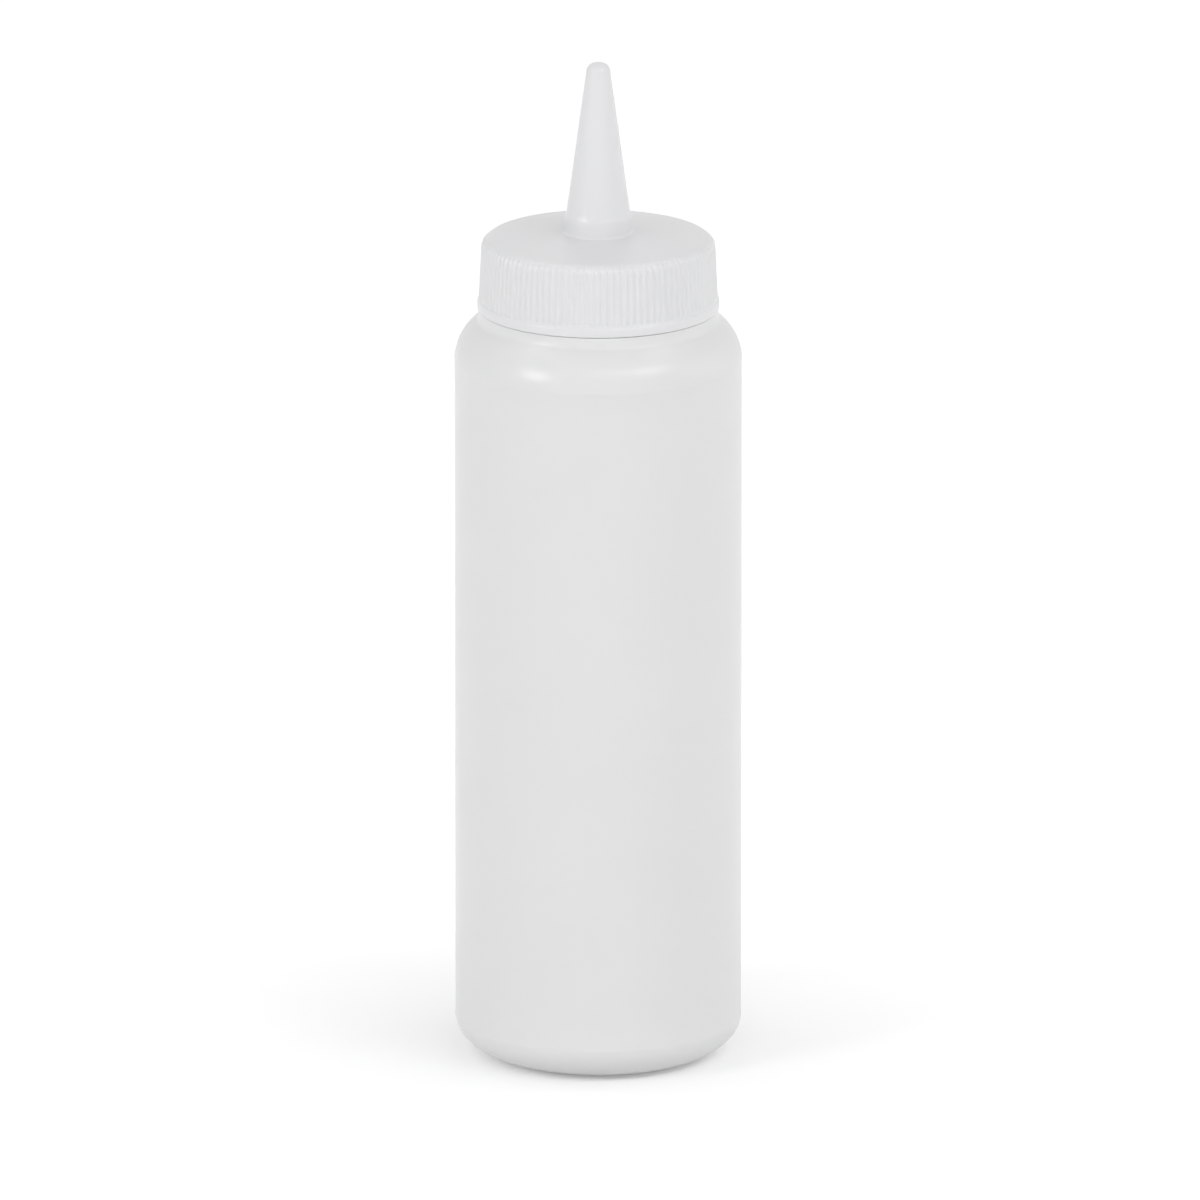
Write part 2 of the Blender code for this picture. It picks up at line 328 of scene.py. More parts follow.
@dataclass(frozen=True)
class MouldLines:
    """What the two halves of the blow mould leave in the plane y = 0.

    A fine ridge runs up both sides, and the weld where the tube of melt was pinched off
    crosses the hollow under the base.
    """

    ridge_height: float = 0.00005
    ridge_half_width: float = 0.00018
    ridge_foot: float = 0.0015
    ridge_fade: float = 0.005
    weld_height: float = 0.00022
    weld_half_width: float = 0.00045
    weld_steepness: float = 1.5
    weld_fade: float = 4.0
    column_shares: tuple[float, ...] = (-1.7, -1.0, -0.5, 0.5, 1.0, 1.7)

    def columns(self, count: int, radius: float) -> Array:
        """Even angles round the turn, with closer ones across both ridges.

        Args:
            count: How many even columns there are, a multiple of two.
            radius: Radius at which the ridge has its width.

        Returns:
            The angles in rising order, in radians.
        """
        even = np.linspace(0.0, FULL_TURN, count, endpoint=False)
        near = self.ridge_half_width / radius * np.array(self.column_shares)
        extra = np.concatenate([near, near + math.pi]) % FULL_TURN
        return np.sort(np.concatenate([even, extra]))

    def ridge(self, angles: Array, section: Array) -> Array:
        """The ridge, with the wall beside it drawn in by the ridge's height.

        The offset is ridge_height * (form - 1), where form falls smoothly from 1 on the
        plane y = 0 to 0 at the ridge's half width, and all of it fades in above the foot.

        Args:
            angles: Angle of each column, in radians.
            section: Outer half section.

        Returns:
            Offset at each point, rings by columns.
        """
        radius = np.maximum(section[:, :1], self.ridge_half_width)
        across = radius * np.abs(np.sin(angles))[None, :]
        form = smoothstep(1.0 - across / self.ridge_half_width)
        fade = smoothstep((section[:, 1:] - self.ridge_foot) / self.ridge_fade)
        return self.ridge_height * (form - 1.0) * fade

    def weld(self, angles: Array, section: Array, edge: float) -> Array:
        """The pinch-off weld, which fades out towards the edge of the hollow.

        Args:
            angles: Angle of each column, in radians.
            section: Outer half section.
            edge: Radius of the hollow under the base.

        Returns:
            Offset at each point, rings by columns.
        """
        across = section[:, :1] * np.abs(np.sin(angles))[None, :]
        form = smoothstep(self.weld_steepness * (1.0 - across / self.weld_half_width))
        low = section[:, 1:] < self.ridge_foot
        fade = smoothstep(self.weld_fade * (1.0 - section[:, :1] / edge)) * low
        return self.weld_height * form * fade


def srgb(colour: str) -> tuple[float, float, float, float]:
    """Turns an sRGB hex colour into the linear values that a shader takes.

    Args:
        colour: Colour such as "#E0E0E0".

    Returns:
        Linear red, green and blue, and an alpha of 1.
    """
    code = np.array([int(colour[i : i + 2], 16) for i in (1, 3, 5)]) / 255
    value = np.where(code <= 0.04045, code / 12.92, ((code + 0.055) / 1.055) ** 2.4)
    return (*value.tolist(), 1.0)


def add_node(
    tree: bpy.types.NodeTree,
    kind: str,
    options: dict[str, Any] | None = None,
    **inputs: Any,
) -> bpy.types.Node:
    """Adds one node with its settings and links.

    Args:
        tree: Node tree that takes the node.
        kind: Blender's name of the node type.
        options: The node's own properties.
        **inputs: A value, or an output socket to link, for each input. The name is the
            input's identifier or name with spaces as underscores.

    Returns:
        The node.
    """
    node = tree.nodes.new(kind)
    for name, value in (options or {}).items():
        setattr(node, name, value)
    for name, value in inputs.items():
        socket = next(
            s
            for s in node.inputs
            if name in (s.identifier.replace(" ", "_"), s.name.replace(" ", "_"))
        )
        if isinstance(value, bpy.types.NodeSocket):
            tree.links.new(value, socket)
        else:
            socket.default_value = value
    return node


def plain_material(name: str) -> tuple[bpy.types.Material, bpy.types.NodeTree]:
    """A material whose tree holds nothing but its output.

    Args:
        name: Name of the material.

    Returns:
        The material and its empty node tree.
    """
    material = bpy.data.materials.new(name)
    material.use_nodes = True
    material.node_tree.nodes.clear()
    return material, material.node_tree


@dataclass(frozen=True)
class MouldedLdpe:
    """Natural LDPE as it leaves a mould: milky, slightly waxy and satin.

    The eye gets an even pale grey without a hard edge to its shade, because light goes
    a millimetre deep into the wall, and a soft shine. Where the wall is thicker it looks
    whiter, so the colour drifts slowly over the piece. The real grain and flow streaks
    are a tenth of a millimetre wide and less, too fine for a picture of the whole bottle,
    so both are drawn several times as coarse.
    """

    name: str
    thin_colour: str
    thick_colour: str
    roughness: float
    roughness_drift: float
    streak_width: float
    streak_depth: float
    grain_size: float
    grain_depth: float
    drift_size: float = 0.022
    streak_stretch: float = 0.02
    scuff_foot: float = 0.0004
    scuff_fade: float = 0.0016
    scuff_roughness: float = 0.12
    ior: float = 1.51
    depth_weight: float = 0.1
    depth: float = 0.001

    def material(self) -> bpy.types.Material:
        """Builds the node tree.

        Returns:
            The material, all of it on Object coordinates.
        """
        material, tree = plain_material(self.name)
        place = add_node(tree, "ShaderNodeTexCoord").outputs["Object"]
        drift = add_node(
            tree, "ShaderNodeTexNoise", Vector=place, Scale=1 / self.drift_size
        ).outputs["Fac"]
        colour = add_node(
            tree,
            "ShaderNodeMix",
            {"data_type": "RGBA"},
            Factor_Float=drift,
            A_Color=srgb(self.thin_colour),
            B_Color=srgb(self.thick_colour),
        ).outputs["Result"]
        upright = add_node(
            tree, "ShaderNodeMapping", Vector=place, Scale=(1.0, 1.0, self.streak_stretch)
        ).outputs["Vector"]
        streaks = add_node(
            tree, "ShaderNodeTexNoise", Vector=upright, Scale=1 / self.streak_width
        ).outputs["Fac"]
        grain = add_node(
            tree, "ShaderNodeTexNoise", Vector=place, Scale=1 / self.grain_size
        ).outputs["Fac"]
        streak_bump = add_node(
            tree, "ShaderNodeBump", Height=streaks, Distance=self.streak_depth
        ).outputs["Normal"]
        normal = add_node(
            tree,
            "ShaderNodeBump",
            Height=grain,
            Distance=self.grain_depth,
            Normal=streak_bump,
        ).outputs["Normal"]
        shader = add_node(
            tree,
            "ShaderNodeBsdfPrincipled",
            Base_Color=colour,
            Roughness=self.rubbed(tree, place, drift),
            IOR=self.ior,
            Subsurface_Weight=self.depth_weight,
            Subsurface_Radius=(1.0, 1.0, 1.0),
            Subsurface_Scale=self.depth,
            Normal=normal,
        )
        add_node(tree, "ShaderNodeOutputMaterial", Surface=shader.outputs["BSDF"])
        return material

    def rubbed(
        self, tree: bpy.types.NodeTree, place: bpy.types.NodeSocket, drift: bpy.types.NodeSocket
    ) -> bpy.types.NodeSocket:
        """Roughness that drifts a little and rises where the foot rubs on tables.

        Args:
            tree: The material's node tree.
            place: Object coordinates.
            drift: Slow noise from 0 to 1.

        Returns:
            The roughness.
        """
        height = add_node(tree, "ShaderNodeSeparateXYZ", Vector=place).outputs["Z"]
        rub = add_node(
            tree,
            "ShaderNodeMapRange",
            Value=height,
            From_Min=self.scuff_foot,
            From_Max=self.scuff_foot + self.scuff_fade,
            To_Min=self.scuff_roughness,
            To_Max=0.0,
        ).outputs["Result"]
        level = add_node(
            tree,
            "ShaderNodeMapRange",
            Value=drift,
            To_Min=self.roughness - self.roughness_drift,
            To_Max=self.roughness + self.roughness_drift,
        ).outputs["Result"]
        return add_node(tree, "ShaderNodeMath", Value=level, Value_001=rub).outputs["Value"]


@dataclass(frozen=True)
class FoamedPolyethylene:
    """Foamed polyethylene sheet, punched into a ring: white, soft and dull.

    The eye gets a matte surface with the fine dimples of closed bubbles, which are drawn
    about twice as coarse as real ones. The bottom of each dimple is painted darker, as
    painted shade, from the same pattern that sinks the dimples.
    """

    name: str = "foamed_polyethylene"
    colour: str = "#DEDEDA"
    # painted shade: this darker colour lies in the bottom of each bubble dimple
    shade: str = "#D2D2CC"
    bubble_size: float = 0.0006
    bubble_depth: float = 0.00006
    roughness: float = 0.75
    ior: float = 1.49

    def material(self) -> bpy.types.Material:
        """Builds the node tree.

        Returns:
            The material, all of it on Object coordinates.
        """
        material, tree = plain_material(self.name)
        place = add_node(tree, "ShaderNodeTexCoord").outputs["Object"]
        bubbles = add_node(
            tree, "ShaderNodeTexVoronoi", Vector=place, Scale=1 / self.bubble_size
        ).outputs["Distance"]
        # painted shade: the colour falls to the darker one where the bump sinks into a dimple
        colour = add_node(
            tree,
            "ShaderNodeMix",
            {"data_type": "RGBA"},
            Factor_Float=bubbles,
            A_Color=srgb(self.shade),
            B_Color=srgb(self.colour),
        ).outputs["Result"]
        normal = add_node(
            tree, "ShaderNodeBump", Height=bubbles, Distance=self.bubble_depth
        ).outputs["Normal"]
        shader = add_node(
            tree,
            "ShaderNodeBsdfPrincipled",
            Base_Color=colour,
            Roughness=self.roughness,
            IOR=self.ior,
            Normal=normal,
        )
        add_node(tree, "ShaderNodeOutputMaterial", Surface=shader.outputs["BSDF"])
        return material


# Both finishes drift wholly above a roughness of 0.274, because faint outlines showed
# where it was crossed.

# Blown with low pressure: the eye gets a satin skin with soft highlights.
BLOW_MOULDED = MouldedLdpe(
    name="blow_moulded_ldpe",
    thin_colour="#DFDFE0",
    thick_colour="#E2E2E2",
    roughness=0.3,
    roughness_drift=0.025,
    streak_width=0.0022,
    streak_depth=0.000012,
    grain_size=0.0006,
    grain_depth=0.000006,
)

# Injected with high pressure, which copies the mould more closely: the eye gets a slightly
# cooler grey with a finer grain.
INJECTION_MOULDED = MouldedLdpe(
    name="injection_moulded_ldpe",
    thin_colour="#E0E0E2",
    thick_colour="#E2E2E3",
    roughness=0.3,
    roughness_drift=0.02,
    streak_width=0.004,
    streak_depth=0.000008,
    grain_size=0.0005,
    grain_depth=0.000003,
)


def placed(piece: bpy.types.Object, node: str, body: Body) -> None:
    """Puts a piece in the place of its CAD node and reports it.

    Args:
        piece: The finished piece.
        node: The CAD node that it stands for.
        body: The body that carries it.
    """
    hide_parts(node)
    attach(piece, body.value)
    triangles = sum(len(face.vertices) - 2 for face in piece.data.polygons)
    LOG.info("%s: %d triangles", piece.name, triangles)


@dataclass
class Bottle:
    """The blow-moulded bottle: base, wall, shoulder and threaded neck in one piece."""

    radius: float = field(default_factory=lambda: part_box("bottle")[1].x)
    neck_top: float = field(default_factory=lambda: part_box("bottle")[1].z)
    wall: float = 0.0009
    base_corner: Point = (0.0098, 0.0067)
    base_ring_width: float = 0.0035
    base_push_up: float = 0.0012
    shoulder_height: float = 0.12668
    shoulder_radius: float = 0.0086
    neck_radius: float = 0.0175
    neck_wall: float = 0.0014
    neck_height: float = 0.0102
    neck_edge: float = 0.0003
    seat_radius: float = 0.02116
    seat_edge: float = 0.00012
    seat_gap: float = 0.00005
    seat_foot_radius: float = 0.0217
    panel_step: float = 0.0003
    panel_inset: float = 0.00006
    thread_foot: float = 0.0032
    thread_top_drop: float = 0.0017
    even_columns: int = 256
    mould_lines: MouldLines = field(default_factory=MouldLines)

    @property
    def shoulder_top(self) -> float:
        """Height at which the shoulder meets the neck."""
        return self.neck_top - self.neck_height

    @property
    def neck_bore(self) -> float:
        """Radius of the neck's bore."""
        return self.neck_radius - self.neck_wall

    @property
    def thread(self) -> Thread:
        """The neck's thread."""
        foot = self.shoulder_top + self.thread_foot
        span = self.neck_top - self.thread_top_drop - foot
        return Thread(foot=foot, start_turn=0.0, turns=span / Thread.pitch)

    def seat(self, shoulder: Point) -> Array:
        """The low ledge that the cap's edge nearly touches, so no dark gap shows there.

        Args:
            shoulder: First point of the round shoulder.

        Returns:
            The stretch from the neck over the ledge to the shoulder.
        """
        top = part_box("cap")[0].z - self.seat_gap
        small = self.seat_edge
        across = self.seat_radius + self.shoulder_radius - self.radius
        reach = math.sqrt(self.shoulder_radius**2 - across**2)
        under = (self.seat_radius, self.shoulder_height + reach)
        root = (self.neck_radius, top)
        start = (self.neck_radius, top + small)
        end = (self.neck_radius + small, top)
        return joined(
            bend(start, root, end, steps=4),
            line(end, (self.seat_radius - small, top), steps=4),
            arc((self.seat_radius - small, top - small), (small, small), 90, 0, steps=5),
            bend((self.seat_radius, top - small), under, shoulder, steps=10),
        )

    def outside(self) -> Array:
        """Outer half section, from the middle of the rim down to the base's centre.

        Returns:
            The section: rim, neck, the ledge under the cap's edge, round shoulder, wall
            with its label panel drawn in, oval base corner, flat standing ring and the
            dome that is pushed up inside it.
        """
        edge = self.neck_edge
        rim = (self.neck_radius - edge, self.neck_top - edge)
        centre = self.radius - self.shoulder_radius
        lean = math.degrees(math.acos((self.seat_foot_radius - centre) / self.shoulder_radius))
        shoulder = arc(
            (centre, self.shoulder_height), (self.shoulder_radius,) * 2, lean, 0, steps=32
        )
        seat = self.seat(tuple(shoulder[0]))
        base_centre = (self.radius - self.base_corner[0], self.base_corner[1])
        base = arc(base_centre, self.base_corner, 0, -90, steps=32)
        hollow = base_centre[0] - self.base_ring_width
        inset = self.radius - self.panel_inset
        panel = (
            (inset, self.shoulder_height - self.panel_step),
            (inset, base_centre[1] + self.panel_step),
        )
        radii = np.linspace(hollow, 0, 17)
        middle = (self.neck_radius - self.neck_wall / 2, self.neck_top)
        return joined(
            line(middle, (rim[0], self.neck_top), steps=2),
            arc(rim, (edge, edge), 90, 0, steps=5),
            line((self.neck_radius, rim[1]), tuple(seat[0]), steps=48),
            seat,
            shoulder,
            line(tuple(shoulder[-1]), panel[0], steps=2),
            line(panel[0], panel[1], steps=24),
            line(panel[1], tuple(base[0]), steps=2),
            base,
            line(tuple(base[-1]), (hollow, 0.0), steps=4),
            np.column_stack([radii, dome(radii, hollow, self.base_push_up)]),
        )

    def inside(self) -> Array:
        """Inner half section, from the base's centre up to the middle of the rim.

        Returns:
            The section, one wall thickness inside the outer one.
        """
        centre = self.radius - self.shoulder_radius
        arm = self.shoulder_radius - self.wall
        base_centre = (self.radius - self.base_corner[0], self.base_corner[1])
        corner = (self.base_corner[0] - self.wall, self.base_corner[1] - self.wall)
        hollow = base_centre[0] - self.base_ring_width
        radii = np.linspace(0, hollow, 9)
        base = arc(base_centre, corner, -90, 0, steps=14)
        shoulder = arc((centre, self.shoulder_height), (arm, arm), 0, 90, steps=18)
        edge = self.neck_edge
        ceiling = shoulder[-1][1]
        lip = (self.neck_bore + edge, self.neck_top - edge)
        middle = (self.neck_radius - self.neck_wall / 2, self.neck_top)
        return joined(
            np.column_stack([radii, self.wall + dome(radii, hollow, self.base_push_up)]),
            base,
            line(tuple(base[-1]), tuple(shoulder[0]), steps=8),
            shoulder,
            line(tuple(shoulder[-1]), (self.neck_bore, ceiling), steps=1),
            line((self.neck_bore, ceiling), (self.neck_bore, lip[1]), steps=4),
            arc(lip, (edge, edge), 180, 90, steps=5),
            line((lip[0], self.neck_top), middle, steps=2),
        )

    def build(self) -> bpy.types.Object:
        """Makes the bottle, with its thread and its mould lines in the outer face.

        Returns:
            The finished piece.
        """
        angles = self.mould_lines.columns(self.even_columns, self.radius)
        outer = self.outside()[:-1]
        inner = self.inside()[1:-1]
        hollow = self.radius - self.base_corner[0] - self.base_ring_width
        thread = self.thread.swelling(angles, outer[:, 1])
        ridge = self.mould_lines.ridge(angles, outer)
        weld = self.mould_lines.weld(angles, outer, hollow)
        offset = np.concatenate([np.zeros((len(inner), len(angles))), thread + ridge + weld])
        section = np.concatenate([inner, outer])
        shell = Shell("bottle_moulding")
        rings = shell.add(carried_round(section, angles, offset))
        shell.close_pole(rings[0], self.wall + self.base_push_up, first=True)
        shell.close_pole(rings[-1], self.base_push_up - self.mould_lines.weld_height, first=False)
        piece = shell.build()
        piece.data.materials.append(BLOW_MOULDED.material())
        placed(piece, "bottle", Body.BOTTLE)
        return piece


@dataclass
class ScrewCap:
    """The injection-moulded cap: ribbed skirt, flange, deck, collar and cone spout."""

    bottle: Bottle
    mouth: float = field(default_factory=lambda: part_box("cap")[0].z)
    tip: float = field(default_factory=lambda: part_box("cap")[1].z)
    flange_radius: float = field(default_factory=lambda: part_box("cap")[1].x)
    ceiling: float = field(default_factory=lambda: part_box("seal_ring")[1].z + SEAL_CLEARANCE)
    bore: float = 0.01915
    wall: float = 0.00125
    mouth_edge: float = 0.0003
    skirt_draft: float = 0.00042
    flange_height: float = 0.00175
    flange_lip: float = 0.0002
    flare_reach: float = 0.0003
    edge_radius: float = 0.002
    edge_turns: tuple[float, ...] = (0.0, 50.0, 68.0)
    edge_radii: tuple[float, ...] = (0.00225, 0.0005, 0.003)
    edge_steps: int = 9
    deck_rise: float = 0.00095
    rib_depth: float = 0.00025
    ribs: int = 108
    columns_per_rib: int = 8
    plain_step: int = 4
    rib_start_angle: float = 50.0
    rib_full_angle: float = 22.0
    spout_height: float = 0.0316
    collar_radius: float = 0.0059
    collar_height: float = 0.0034
    collar_step: float = 0.0003
    collar_blend: float = 0.0007
    collar_fillet: float = 0.0004
    tip_radius: float = 0.00212
    tip_rounding: float = 0.0016
    spout_wall: float = 0.0012
    tip_thickness: float = 0.0016
    thread_foot: float = 0.00125
    thread_top_drop: float = 0.0052

    @property
    def deck_edge(self) -> Point:
        """Radius and height of the centre of the cap's round edge."""
        radius = self.bore + self.wall - self.edge_radius
        return radius, self.tip - self.spout_height - self.edge_radius

    @property
    def thread(self) -> Thread:
        """The cap's thread, half a pitch from the neck's."""
        foot = self.mouth + self.thread_foot
        span = self.ceiling - self.thread_top_drop - foot
        start = (foot - self.bottle.thread.foot) / Thread.pitch + 1 / 2
        return Thread(foot=foot, start_turn=start, turns=span / Thread.pitch)

    def deck(self, radius: Array | float) -> Array | float:
        """Height of the deck's outer face at a radius."""
        edge = self.deck_edge
        return edge[1] + self.edge_radius + dome(radius, edge[0], self.deck_rise)

    def lining(self, radius: Array | float) -> Array | float:
        """Height of the deck's inner face at a radius."""
        return self.ceiling + dome(radius, self.bottle.neck_bore, self.deck_rise)

    @property
    def deck_slope(self) -> float:
        """How far the deck leans at its edge, in degrees."""
        return math.degrees(math.atan(2 * self.deck_rise / self.deck_edge[0]))

    def rounding(self) -> Array:
        """The cap's round edge: three arcs in one smooth curve, the middle one tight.

        Returns:
            The stretch from the deck's edge down to the top of the skirt.
        """
        turns = (*self.edge_turns, 90 - self.deck_slope)
        end = np.array([self.bore + self.wall, 0.0])
        stretches = []
        for first, last, size in zip(turns, turns[1:], self.edge_radii):
            way = np.array([math.cos(math.radians(first)), math.sin(math.radians(first))])
            centre = end - size * way
            stretches.append(arc(tuple(centre), (size, size), first, last, self.edge_steps))
            end = stretches[-1][-1]
        curve = joined(*stretches)[::-1]
        curve[:, 1] += self.deck(curve[0, 0]) - curve[0, 1]
        return curve

    def spout(self) -> Array:
        """Outer half section of the spout and the deck, from the tip outwards.

        Returns:
            The section: blunt round tip, cone, step to the collar, collar, fillet and
            the shallow dome of the deck.
        """
        foot = self.deck(self.collar_radius)
        top = foot + self.collar_height
        cone = self.collar_radius - self.collar_step
        centre = (self.tip_radius - self.tip_rounding, self.tip - self.tip_rounding)
        lean = math.degrees(math.atan2(cone - self.tip_radius, centre[1] - top))
        nose = arc(centre, (self.tip_rounding,) * 2, 90, lean, steps=14)
        reach = self.collar_blend
        upper = (cone, top + reach / 2)
        lower = (self.collar_radius, top - reach / 2)
        middle = ((upper[0] + lower[0]) / 2, top)
        fillet = self.collar_radius + self.collar_fillet
        radii = np.linspace(fillet, self.rounding()[0, 0], 18)
        rise = (nose[-1][1] - upper[1] - reach) / (nose[-1][1] - upper[1])
        above = nose[-1] + (np.array(upper) - nose[-1]) * rise
        return joined(
            line((0.0, self.tip), tuple(nose[0]), steps=2),
            nose,
            line(tuple(nose[-1]), tuple(above), steps=14),
            bend(tuple(above), upper, middle, steps=6),
            bend(middle, lower, (lower[0], lower[1] - reach), steps=6),
            line((lower[0], lower[1] - reach), (lower[0], foot + self.collar_fillet), steps=3),
            bend(
                (self.collar_radius, foot + self.collar_fillet),
                (self.collar_radius, foot),
                (fillet, self.deck(fillet)),
                steps=8,
            ),
            np.column_stack([radii, self.deck(radii)]),
        )

    def skirt(self) -> tuple[Array, Array]:
        """Outer half section of round edge, skirt and flange, and how high ribs stand.

        A smooth flare joins the skirt and the flange, and the ribs fade out in it.

        Returns:
            The section between the ribs, and at each ring the rib height from 0 to 1.
        """
        rounding = self.rounding()
        foot = (self.bore + self.wall + self.skirt_draft, self.mouth + self.flange_height)
        half = (self.flange_radius - foot[0]) / 2
        reach = half + self.flare_reach
        rib_end = (foot[0], foot[1] + reach)
        middle = (foot[0] + half, foot[1])
        flared = (self.flange_radius, foot[1] - reach)
        lip = self.flange_lip
        section = joined(
            rounding,
            line(tuple(rounding[-1]), rib_end, steps=8),
            bend(rib_end, (foot[0], foot[1] + half), middle, steps=6),
            bend(middle, (self.flange_radius, foot[1] - half), flared, steps=6),
            line(flared, (self.flange_radius, self.mouth + lip), steps=2),
            arc((self.flange_radius - lip, self.mouth + lip), (lip, lip), 0, -90, steps=6),
        )
        along = np.gradient(section, axis=0)
        angle = np.degrees(np.arctan2(along[:, 0], -along[:, 1]))
        rise = (self.rib_start_angle - angle) / (self.rib_start_angle - self.rib_full_angle)
        fall = (section[:, 1] - foot[1]) / reach
        return section, smoothstep(rise) * smoothstep(fall)

    def ribbing(self, angles: Array, rise: Array) -> Array:
        """The ribs: depth * rise * (1 + cos(ribs * angle)) / 2, with round crests and roots.

        Args:
            angles: Angle of each column, in radians.
            rise: Rib height at each ring, from 0 to 1.

        Returns:
            Offset at each point, rings by columns.
        """
        crest = (1 + np.cos(self.ribs * angles)) / 2
        return self.rib_depth * rise[:, None] * crest[None, :]

    def inside(self) -> Array:
        """Inner half section, from under the flange up to the closed end of the spout.

        Returns:
            The section: rim of the mouth, threaded bore, ceiling and spout bore.
        """
        lip = self.mouth_edge
        bore_foot = self.collar_radius - self.spout_wall
        end = self.tip_radius - self.spout_wall
        end_centre = (0.0, self.tip - self.tip_thickness - end)
        radii = np.linspace(self.bottle.neck_bore, bore_foot + lip, 14)
        ledge = (bore_foot, self.deck(self.collar_radius) + self.collar_height)
        mouth_radius = self.flange_radius - self.flange_lip
        root = (self.bore, self.ceiling)
        return joined(
            line((mouth_radius - lip, self.mouth), (self.bore + lip, self.mouth), steps=2),
            bend(
                (self.bore + lip, self.mouth),
                (self.bore, self.mouth),
                (self.bore, self.mouth + lip),
            ),
            line((self.bore, self.mouth + lip), (self.bore, self.ceiling - lip), steps=56),
            bend((self.bore, self.ceiling - lip), root, (self.bore - lip, self.ceiling), steps=4),
            line((self.bore - lip, self.ceiling), (self.bottle.neck_bore, self.ceiling), steps=3),
            np.column_stack([radii, self.lining(radii)]),
            bend(
                (bore_foot + lip, self.lining(bore_foot + lip)),
                (bore_foot, self.lining(bore_foot)),
                (bore_foot, self.lining(bore_foot) + lip),
                steps=4,
            ),
            line((bore_foot, self.lining(bore_foot) + lip), ledge, steps=4),
            line(ledge, (end, end_centre[1]), steps=12),
            arc(end_centre, (end, end), 0, 90, steps=8),
        )

    def build(self) -> bpy.types.Object:
        """Makes the cap: plain, ribbed and inner zone, joined ring to ring.

        Returns:
            The finished piece.
        """
        count = self.ribs * self.columns_per_rib
        fine = np.linspace(0.0, FULL_TURN, count, endpoint=False)
        plain = fine[:: self.plain_step]
        spout = self.spout()[1:]
        skirt, rise = self.skirt()
        inner = self.inside()[:-1]
        shell = Shell("cap_moulding")
        top = shell.add(carried_round(spout, plain))
        ribbed = shell.add(carried_round(skirt, fine, self.ribbing(fine, rise))[1:])
        thread = self.thread.swelling(plain, inner[:, 1])
        thread *= np.abs(inner[:, :1] - self.bore) < SAME_PLACE
        within = shell.add(carried_round(inner, plain, thread))
        shell.close_pole(top[0], self.tip, first=True)
        shell.close_band(top[-1], ribbed[0])
        shell.close_band(ribbed[-1], within[0])
        shell.close_pole(within[-1], self.tip - self.tip_thickness, first=False)
        piece = shell.build()
        piece.data.materials.append(INJECTION_MOULDED.material())
        placed(piece, "cap", Body.CAP)
        return piece


@dataclass
class SealRing:
    """The flat foamed ring between the neck's rim and the cap."""

    low: Vector = field(default_factory=lambda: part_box("seal_ring")[0])
    high: Vector = field(default_factory=lambda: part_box("seal_ring")[1])
    width: float = 0.0025
    edge: float = 0.0002
    columns: int = 192

    def section(self) -> Array:
        """Closed section: a flat rectangle with rounded corners.

        Returns:
            The section, up the inside, over the top and down the outside.
        """
        edge = self.edge
        inner = self.high.x - self.width + edge
        outer = self.high.x - edge
        floor = self.low.z + edge
        roof = self.high.z - edge
        round_edge = (edge, edge)
        return joined(
            arc((inner, floor), round_edge, 270, 180, steps=4),
            arc((inner, roof), round_edge, 180, 90, steps=4),
            arc((outer, roof), round_edge, 90, 0, steps=4),
            arc((outer, floor), round_edge, 0, -90, steps=4),
        )

    def build(self) -> bpy.types.Object:
        """Makes the ring.

        Returns:
            The finished piece.
        """
        angles = np.linspace(0.0, FULL_TURN, self.columns, endpoint=False)
        shell = Shell("seal_ring_foam")
        rings = shell.add(carried_round(self.section(), angles))
        shell.close_band(rings[-1], rings[0])
        piece = shell.build()
        piece.data.materials.append(FoamedPolyethylene().material())
        placed(piece, "seal_ring", Body.SEAL)
        return piece


def background_rays(tree: bpy.types.NodeTree) -> bpy.types.NodeSocket:
    """1 for rays that show the background: to the camera, in gloss or through glass.

    Args:
        tree: Node tree of the world or of the floor.

    Returns:
        The larger of the three values.
    """
    path = add_node(tree, "ShaderNodeLightPath").outputs
    seen = path["Is Camera Ray"]
    for kind in ("Is Glossy Ray", "Is Transmission Ray"):
        larger = {"operation": "MAXIMUM"}
        seen = add_node(
            tree, "ShaderNodeMath", larger, Value=seen, Value_001=path[kind]
        ).outputs["Value"]
    return seen


@dataclass(frozen=True)
class Softbox:
    """A flat soft lamp that faces the object."""

    name: str
    azimuth: float
    elevation: float
    width: float
    height: float
    radiance: float
    distance: float = 1.2

    def build(self, target: Vector) -> None:
        """Makes the lamp.

        Args:
            target: The point that it faces.
        """
        turn = math.radians(self.azimuth)
        rise = math.radians(self.elevation)
        way = Vector(
            (math.sin(turn) * math.cos(rise), -math.cos(turn) * math.cos(rise), math.sin(rise))
        )
        lamp = bpy.data.lights.new(self.name, "AREA")
        lamp.shape = "RECTANGLE"
        lamp.size = self.width
        lamp.size_y = self.height
        lamp.energy = POWER_SHARE * self.radiance * self.width * self.height
        thing = bpy.data.objects.new(self.name, lamp)
        thing.location = target + way * self.distance
        thing.rotation_euler = way.to_track_quat("Z", "Y").to_euler()
        thing.visible_camera = False
        bpy.context.scene.collection.objects.link(thing)


